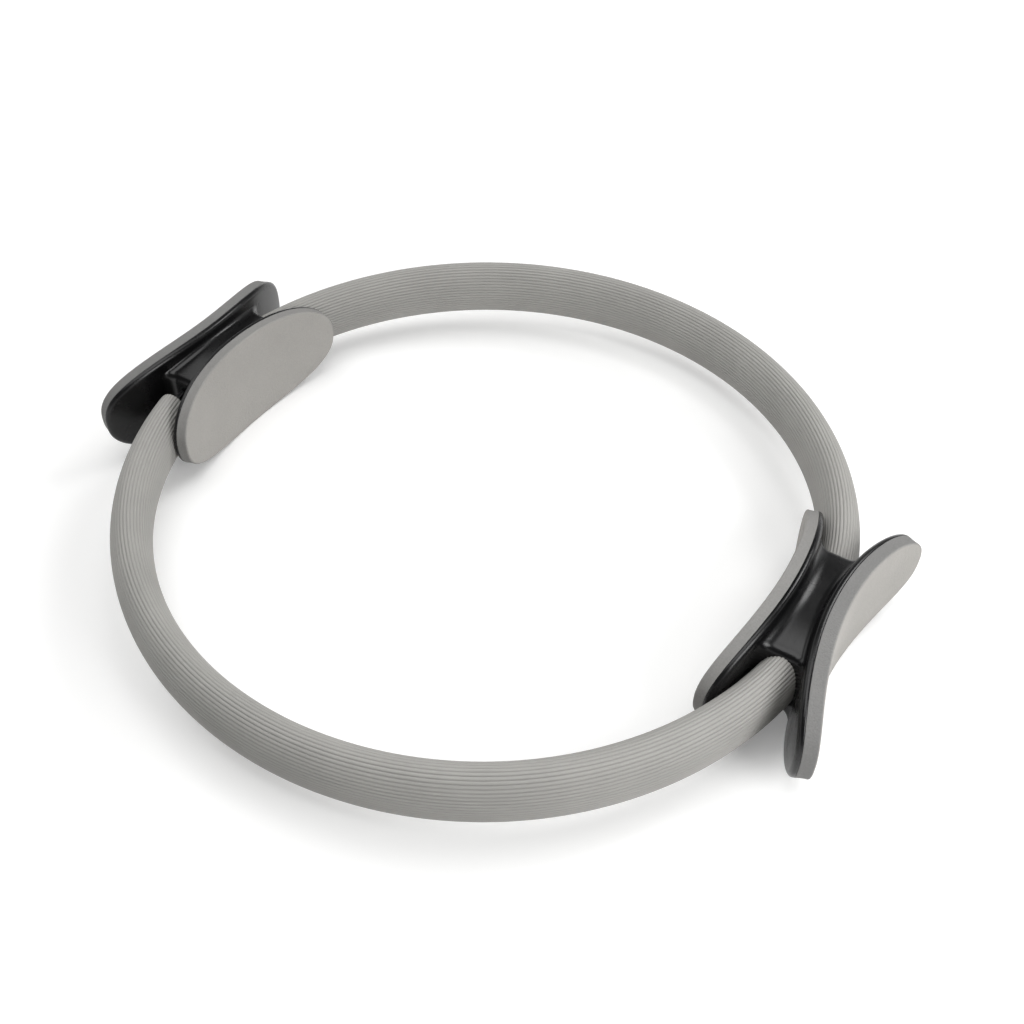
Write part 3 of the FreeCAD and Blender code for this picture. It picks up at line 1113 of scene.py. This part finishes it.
@dataclass(frozen=True)
class Studio:
    """White floor, soft lamps, pale surroundings and the camera."""

    floor_reach: float = 5.0
    floor_points: int = 3
    floor_light: Colour = (0.91, 0.91, 0.905)
    floor_dark: Colour = (0.895, 0.895, 0.89)
    floor_cloud: float = 0.4
    floor_roughness: float = 0.8
    floor_specular: float = 0.1
    floor_glow: Range = (0.18, 0.82)
    glow_reach: Range = (0.17, 1.2)
    surround: float = 0.24
    zenith: float = 0.10
    sky: Range = (0.05, 0.36)
    lamps: tuple[Softbox, ...] = (
        Softbox("overhead_softbox", width=1.3, length=1.3, brightness=2.55, place=(-0.1, -0.02, 1.6)),
        Softbox("back_softbox", width=0.6, length=0.5, brightness=7.0, place=(0.52, 1.1, 1.15)),
        Softbox("left_softbox", width=0.8, length=0.8, brightness=1.3, place=(-1.1, 0.1, 0.8)),
        Softbox("right_softbox", width=0.35, length=0.35, brightness=5.9, place=(0.60, -0.12, 0.38),
                aim=(0.1, 0.0, 0.03)),
    )
    azimuth: float = 32.984
    elevation: float = 44.374
    roll: float = -0.437
    distance: float = 0.57215
    look_at: Spot = (0.0, 0.0, 0.0275)
    lens: float = 40.702
    sensor: float = 36.0
    shift: Size = (0.026815, -0.026029)

    def lay_floor(self) -> None:
        """Lays the floor, a level grid of points, with a faintly uneven white.

        To the eye and in reflections the floor glows a little, and more where it is far from the lamps, so
        that it stays white up to the horizon. The glow lights nothing.
        """
        steps = np.linspace(-self.floor_reach, self.floor_reach, self.floor_points)
        x, y = np.meshgrid(steps, steps)
        points = np.stack((x, y, np.zeros_like(x)), axis=-1)
        number = np.arange(x.size).reshape(x.shape)
        corners = (number[:-1, :-1], number[:-1, 1:], number[1:, 1:], number[1:, :-1])
        faces = np.stack(corners, axis=-1).reshape(-1, 4)
        mesh = bpy.data.meshes.new("floor")
        mesh.from_pydata(points.reshape(-1, 3).tolist(), [], faces.tolist())
        floor = bpy.data.objects.new("floor", mesh)
        bpy.context.scene.collection.objects.link(floor)
        shading = Shading("white_floor")
        cloud = shading.spread(shading.noise(self.floor_cloud, detail=2.0), NOISE_SPAN, WHOLE)
        shading.wire("Base Color", shading.ramp(cloud, self.floor_dark, self.floor_light))
        shading.surface.inputs["Roughness"].default_value = self.floor_roughness
        shading.surface.inputs["Specular IOR Level"].default_value = self.floor_specular
        shading.surface.inputs["Emission Color"].default_value = WHITE
        camera, glossy, through = (shading.node("LightPath", f"Is {ray} Ray") for ray in SEEN_RAYS)
        seen = shading.sum(camera, shading.sum(glossy, through))
        distance = shading.node("VectorMath", "Value", {0: shading.place}, operation="LENGTH")
        glow = shading.spread(distance, self.glow_reach, self.floor_glow)
        shading.wire("Emission Strength", shading.product(seen, glow))
        mesh.materials.append(shading.material)

    def paint_world(self) -> None:
        """Makes the surroundings white to the eye, soft as a light, and darker overhead in reflections.

        What a reflection sees falls from white to the zenith's level as its direction rises through the
        sky's range.
        """
        world = bpy.data.worlds.new("pale_studio")
        world.use_nodes = True
        wiring = Wiring(world.node_tree)
        rise = wiring.node("SeparateXYZ", "Z", {0: wiring.node("TexCoord", "Generated")})
        sky = wiring.spread(rise, self.sky, (1.0, self.zenith))
        strength: Socket | float = self.surround
        for ray, seen in zip(reversed(SEEN_RAYS), (1.0, sky, 1.0)):
            share = wiring.node("LightPath", f"Is {ray} Ray")
            strength = wiring.node("Mix", "Result", {"Factor": share, "A": strength, "B": seen})
        background = wiring.nodes["Background"].inputs
        background["Color"].default_value = WHITE
        wiring.links.new(strength, background["Strength"])
        bpy.context.scene.world = world

    def set_camera(self) -> None:
        """Puts the camera where the photograph was taken from.

        The camera's axes are its right, its up and its back, the first two turned by the roll.
        """
        azimuth, elevation, roll = (math.radians(a) for a in (self.azimuth, self.elevation, self.roll))
        level_back = Vector((math.sin(azimuth), -math.cos(azimuth), 0.0))
        back = math.cos(elevation) * level_back + math.sin(elevation) * Vector((0.0, 0.0, 1.0))
        level = Vector((math.cos(azimuth), math.sin(azimuth), 0.0))
        upright = back.cross(level)
        right = math.cos(roll) * level + math.sin(roll) * upright
        up = math.cos(roll) * upright - math.sin(roll) * level
        lens = bpy.data.cameras.new("photo_camera")
        lens.lens, lens.sensor_width = self.lens, self.sensor
        lens.shift_x, lens.shift_y = self.shift
        camera = bpy.data.objects.new("photo_camera", lens)
        turn = Matrix((right, up, back)).transposed().to_4x4()
        camera.matrix_world = Matrix.Translation(Vector(self.look_at) + self.distance * back) @ turn
        bpy.context.scene.collection.objects.link(camera)
        bpy.context.scene.camera = camera

    def build(self) -> None:
        """Sets up floor, lamps, surroundings and camera."""
        bpy.context.scene.view_settings.view_transform = "Standard"
        self.lay_floor()
        for lamp in self.lamps:
            lamp.hang()
        self.paint_world()
        self.set_camera()


def report(piece: bpy.types.Object) -> None:
    """Logs a piece's name and its number of faces."""
    log.info("%s: %d faces", piece.name, len(piece.data.polygons))


def main() -> None:
    """Builds the ring's pieces and the studio."""
    logging.basicConfig(level=logging.INFO, format="%(message)s")
    hoop = Hoop()
    rubber, foam, plastic = RubberFinish().material(), FoamFinish().material(), PlasticFinish().material()
    # The bands and splice plate get a dark steel colour all over.
    spring = MetalFinish("dark_spring_steel", light=(0.11, 0.11, 0.115), dark=(0.08, 0.08, 0.085))
    zinc = MetalFinish("zinc_plated_steel", light=(0.60, 0.60, 0.61), dark=(0.50, 0.50, 0.52))
    brass = MetalFinish("turned_brass", light=(0.74, 0.56, 0.27), dark=(0.64, 0.47, 0.20))
    spring, zinc, brass = (finish.material() for finish in (spring, zinc, brass))

    sleeve = Sleeve(hoop)
    bands = (SpringBand(hoop, "inner_band", middle=-0.0007, gap_side=Side.RIGHT),
             SpringBand(hoop, "outer_band", middle=0.0007, gap_side=Side.LEFT))
    for stretch in STRETCHES:
        report(sleeve.build(stretch, rubber))
        for band in bands:
            report(band.build(stretch, spring))

    inner = Bow(Facing.INNER, middle=0.1514, curve=0.180, length=0.1226, fullness=2.38, pad=0.0056)
    outer = Bow(Facing.OUTER, middle=0.18266, curve=0.1566, length=0.1354, fullness=2.52, pad=0.0066)
    # The inner pads' smaller cut share is painted light on their edges.
    pads = (FoamPad(inner, cut_share_and_painted_light=0.75), FoamPad(outer, cut_share_and_painted_light=1.0))
    saddle = Saddle(hoop, inner, outer)
    metals = {"screws": zinc, "inserts": brass, "splice_plate": spring, "rivets": zinc}
    for side in Side:
        for pad in pads:
            report(PaddleHalf(pad.bow, saddle).build(side, plastic))
            report(pad.build(side, foam))
        for node in Hardware(side).dress(metals):
            report(node)

    Studio().build()


if __name__ == "__main__":
    main()
